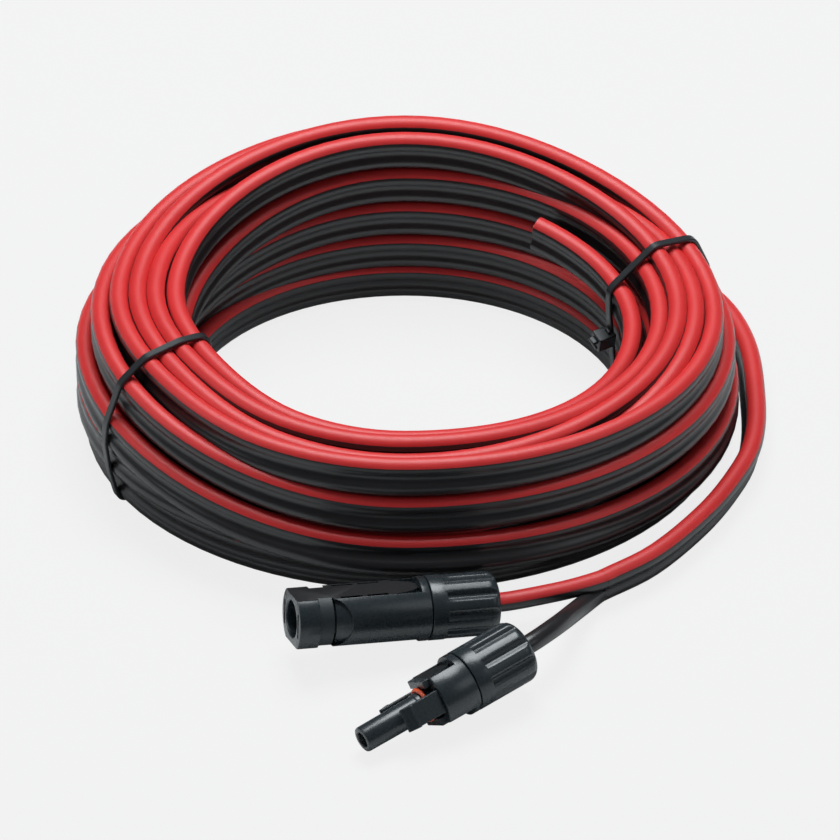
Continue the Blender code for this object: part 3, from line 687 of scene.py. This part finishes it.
def strip_steps(flat, front, slits):
    """Cuts of the two flat strips: the flats, the pockets beside their round tips, the slits."""
    half = math.sqrt(BODY_R ** 2 - flat ** 2)
    steps = []
    for side in (1, -1):
        over = block((STRIP_TIP, -CLEAR, flat), (front + BEYOND, CLEAR, CLEAR), side)
        steps.append(("DIFFERENCE", over))
    for up in (1, -1):
        low, high = sorted((up * (flat - POCKET_DEPTH), up * CLEAR))
        for across in (1, -1):
            outline = [(x, across * y * half) for x, y in POCKET]
            steps.append(("DIFFERENCE", slab(outline, low, high)))
            slit = [(across * (half - inset), up * (flat - depth)) for inset, depth in SLIT]
            for start, end in slits:
                steps.append(("DIFFERENCE", slab(slit, start, end, "X")))
    return steps


def housing_back():
    """Outline of a housing's spigot and back shoulder."""
    return [(SPIGOT_START, CAGE_BORE_R), (SPIGOT_START, SPIGOT_R), (BODY_START, SPIGOT_R),
            (BODY_START, BODY_R - EDGE), (BODY_START + CORNER, BODY_R - CORNER),
            (BODY_START + EDGE, BODY_R)]


def housing_bore(contact_start):
    """Outline of a housing's inside, from the contact's bore back to the clamp cage's."""
    return [(contact_start, CONTACT_BORE_R), (CAGE_BORE_END, CONTACT_BORE_R), (CAGE_BORE_END, CAGE_BORE_R)]


def housing_piece(name, shape, looks, flat, front):
    """A housing with its glossy body, matte waist and matte strips."""
    surfaces = [looks["black_plastic"], looks["waist_plastic"], looks["strip_plastic"]]
    piece = new_piece(name, shape, surfaces, PLASTIC_SMOOTH)
    for face in piece.data.polygons:
        x, y, z = face.center / MM
        if x < front and abs(z) > flat - 0.05 and abs(face.normal.z) > 0.99:
            face.material_index = 2
        elif WAIST_START < x < HEAD_START and abs(math.hypot(y, z) - WAIST_R) < 0.1:
            face.material_index = 1
    return piece


def thumb_scoop(side):
    """Cutter of the arched scoop on one side of the shell, ending in the groove of its window."""
    low, high = sorted((side * SCOOP_INNER, side * CLEAR))
    length, half_height = SCOOP
    arch = []
    for degrees in range(0, 181, SCOOP_STEP):
        angle = math.radians(degrees)
        arch.append((WAIST_START + 0.1 - length * math.sin(angle), half_height * math.cos(angle)))
    groove_end = GROOVE_START + GROOVE_WIDTH
    kept = [(SCOOP_SLOPE_START, AXIS_R), (SCOOP_SLOPE_START, SCOOP_R[0]), (GROOVE_START, SCOOP_R[1]),
            (GROOVE_START, GROOVE_R), (groove_end, GROOVE_R), (groove_end, AXIS_R)]
    return carve(slab(arch, low, high, "Y"), [("DIFFERENCE", lathe(kept))])


def shell_housing(looks):
    """Body of the shell connector: mouth, latch channels, waist, thumb scoops and strips."""
    profile = housing_back()
    profile += [(WAIST_START - WAIST_BEVEL, BODY_R), (WAIST_START, WAIST_R),
                (HEAD_START - HEAD_BEVEL, WAIST_R), (HEAD_START, HEAD_R - HEAD_BEVEL),
                (HEAD_START + HEAD_BEVEL, HEAD_R)]
    profile += rim(SHELL_LENGTH, HEAD_R, HEAD_EDGE)
    profile += [(SHELL_LENGTH, MOUTH_R + EDGE), (SHELL_LENGTH - EDGE, MOUTH_R), (MOUTH_FLOOR, MOUTH_R)]
    profile += housing_bore(MOUTH_FLOOR)
    steps = strip_steps(SHELL_FLAT, SHELL_LENGTH, SHELL_SLITS)
    inner, outer, half = LATCH_CHANNEL
    for side in (1, -1):
        channel = block((WAIST_START, inner, -half), (SHELL_LENGTH + BEYOND, outer, half), side)
        steps += [("DIFFERENCE", channel), ("DIFFERENCE", thumb_scoop(side))]
    piece = housing_piece("shell_body", carve(lathe(profile), steps), looks, SHELL_FLAT, SHELL_LENGTH)
    lay(piece, SHELL_POSE, "cable_set")
    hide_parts("shell_housing")


def probe_housing(looks):
    """Body of the probe connector: nose, ring seat, tongues, arm pockets and strips."""
    seat_start, seat_end, seat_r = RING_SEAT
    profile = housing_back() + rim(PROBE_FRONT, BODY_R, *PROBE_EDGE)
    profile += [(PROBE_FRONT, COLLAR_R), (seat_start, COLLAR_R), (seat_start, seat_r), (seat_end, seat_r),
                (seat_end, STEP_R), (STEP[0], STEP_R), (STEP[1], PROBE_R)]
    profile += [(PROBE_LENGTH - back, PROBE_R - inward) for back, inward in NOSE_END]
    profile += [(PROBE_LENGTH, NOSE_HOLE_R + EDGE), (PROBE_LENGTH - EDGE, NOSE_HOLE_R),
                (NOSE_HOLE_START, NOSE_HOLE_R), (NOSE_HOLE_START, SOCKET_BORE_R),
                (SOCKET_BORE_START, SOCKET_BORE_R)]
    profile += housing_bore(SOCKET_BORE_START)
    steps = strip_steps(PROBE_FLAT, PROBE_FRONT, [])
    inner, outer, half = ARM_POCKET
    for side in (1, -1):
        pocket = block((ARM_POCKET_START, inner, -half), (PROBE_FRONT + BEYOND, outer, half), side)
        tongue = slab([(x, side * z) for x, z in TONGUE], -TONGUE_HALF, TONGUE_HALF, "Y")
        steps += [("DIFFERENCE", pocket), ("UNION", tongue)]
    piece = housing_piece("probe_body", carve(lathe(profile), steps), looks, PROBE_FLAT, PROBE_FRONT)
    lay(piece, PROBE_POSE, "cable_set")
    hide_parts("probe_housing")


def dress(nodes, looks):
    """Give every CAD node its procedural surface."""
    for name, node in nodes.items():
        node.data.materials.clear()
        node.data.materials.append(looks[NODE_LOOKS.get(name, "black_plastic")])


# --- ties ------------------------------------------------------------------------------
def crossings(points, ups, start, along):
    """Where the cores cross an upright plane: (distance along it, height, half width)."""
    normal = Vector((-along.y, along.x, 0))
    found = []
    for index in range(len(points) - 1):
        a, b = ((points[k] - start).dot(normal) for k in (index, index + 1))
        if a * b > 0 or a == b:
            continue
        middle = points[index].lerp(points[index + 1], a / (a - b))
        if not TIE_SPAN[0] < (middle - start).dot(along) < TIE_SPAN[1]:
            continue
        heading = (points[index + 1] - points[index]).normalized()
        half = CORE_R / max(TIE_NARROWEST, abs(heading.dot(normal)))
        for lift in (CORE_OFFSET, -CORE_OFFSET):
            core = middle + ups[index] * lift
            found.append(((core - start).dot(along), core.z, half))
    return found


def hull(dots):
    """Convex hull of flat points, counter-clockwise."""
    dots = sorted(set(dots))

    def chain(order):
        kept = []
        for dot in order:
            while len(kept) > 1 and ((kept[-1][0] - kept[-2][0]) * (dot[1] - kept[-2][1])
                                     - (kept[-1][1] - kept[-2][1]) * (dot[0] - kept[-2][0])) <= 0:
                kept.pop()
            kept.append(dot)
        return kept[:-1]

    return chain(dots) + chain(dots[::-1])


def strap_line(points, ups, start, along):
    """A closed line drawn tight round the cores in a tie's plane, half a strap outside them."""
    clear = TIE_THICKNESS / 2 + TIE_CLEAR
    dots = []
    for s, z, half in crossings(points, ups, start, along):
        for step in range(DISC_SIDES):
            angle = math.tau * step / DISC_SIDES
            height = max(z + (CORE_R + clear) * math.sin(angle), TIE_LOWEST)
            dots.append((s + (half + clear) * math.cos(angle), height))
    loop = [start + along * s + UP * z for s, z in hull(dots)]
    line = []
    for a, b in zip(loop, loop[1:] + loop[:1]):
        count = max(1, round((b - a).length / TIE_STEP))
        line += [a.lerp(b, i / count) for i in range(count)]
    for _ in range(TIE_SMOOTHING):
        line = [(before + point * 2 + after) / 4
                for before, point, after in zip(line[-1:] + line[:-1], line, line[1:] + line[:1])]
    return line


def tie(name, place, points, ups, looks):
    """A strap drawn tight round the turns, with its ratchet head and cut tail."""
    inner, outer, head_height = place
    start, finish = from_coil([(*inner, 0), (*outer, 0)])
    along = (finish - start).normalized()
    normal = Vector((-along.y, along.x, 0))
    line = strap_line(points, ups, start, along)
    h, w, c = TIE_THICKNESS / 2, TIE_WIDTH / 2, TIE_BEVEL
    section = [(h, w - c), (h - c, w), (c - h, w), (-h, w - c),
               (-h, c - w), (c - h, -w), (h - c, -w), (h, c - w)]
    shape = bmesh.new()
    sweep(shape, line, [normal] * len(line), [section] * len(line), closed=True)
    strap = new_piece(name + "_strap", shape, [looks["tie_nylon"]], TIE_SMOOTH)
    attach(strap, "cable_set")
    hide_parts(name)
    near = [p for p in line if abs(p.z - head_height) < TIE_HEAD_BAND]
    seat = min(near, key=lambda p: (p - start).dot(along))
    head = tie_head(name + "_head", looks)
    head.matrix_world = (Matrix.Translation(seat * MM)
                         @ Matrix((-along, normal, UP)).transposed().to_4x4()
                         @ Matrix.Rotation(math.radians(TIE_HEAD_TILT), 4, "X"))
    bpy.context.view_layer.update()
    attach(head, "cable_set")


def tie_head(name, looks):
    """Ratchet head with its two lips, and the cut end of the strap standing out of it."""
    deep, wide, tall = TIE_HEAD
    back, front, out = TIE_END
    lip = wide * TIE_LIP_SHARE
    shape = bmesh.new()
    add_box(shape, (-TIE_HEAD_SINK, -wide / 2, -tall / 2), (deep, wide / 2, tall / 2))
    add_box(shape, (back, -TIE_WIDTH / 2, tall / 2 - 0.2), (front, TIE_WIDTH / 2, tall / 2 + out))
    add_box(shape, (deep - 0.2, -lip, tall * 0.05), (deep + 1.7, lip, tall * 0.05 + 1.1))
    add_box(shape, (deep - 0.2, -lip, -tall * 0.42), (deep + 0.5, lip, -tall * 0.2))
    head = new_piece(name, shape, [looks["tie_nylon"]], TIE_SMOOTH)
    soft = head.modifiers.new("soft_edges", "BEVEL")
    soft.width, soft.segments = TIE_HEAD_BEVEL * MM, 2
    return head


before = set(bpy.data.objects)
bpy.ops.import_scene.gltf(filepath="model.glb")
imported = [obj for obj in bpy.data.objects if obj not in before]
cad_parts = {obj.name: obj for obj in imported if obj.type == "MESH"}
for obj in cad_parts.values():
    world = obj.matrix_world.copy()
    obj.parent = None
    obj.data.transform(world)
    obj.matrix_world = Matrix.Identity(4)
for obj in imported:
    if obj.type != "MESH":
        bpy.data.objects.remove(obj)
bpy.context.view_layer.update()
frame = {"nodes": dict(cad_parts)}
looks = {name: surface(name + "_look", *values) for name, values in SURFACES.items()}
floor()
studio()
lamps()
camera()
twin_points, twin_ups = cords(looks)
tie("cable_tie_left", TIE_LEFT, twin_points, twin_ups, looks)
tie("cable_tie_right", TIE_RIGHT, twin_points, twin_ups, looks)
nut("shell_nut", SHELL_POSE, SHELL_NUT_TURN, "shell_gland_nut", looks)
nut("probe_nut", PROBE_POSE, PROBE_NUT_TURN, "probe_gland_nut", looks)
shell_housing(looks)
probe_housing(looks)
dress(frame["nodes"], looks)
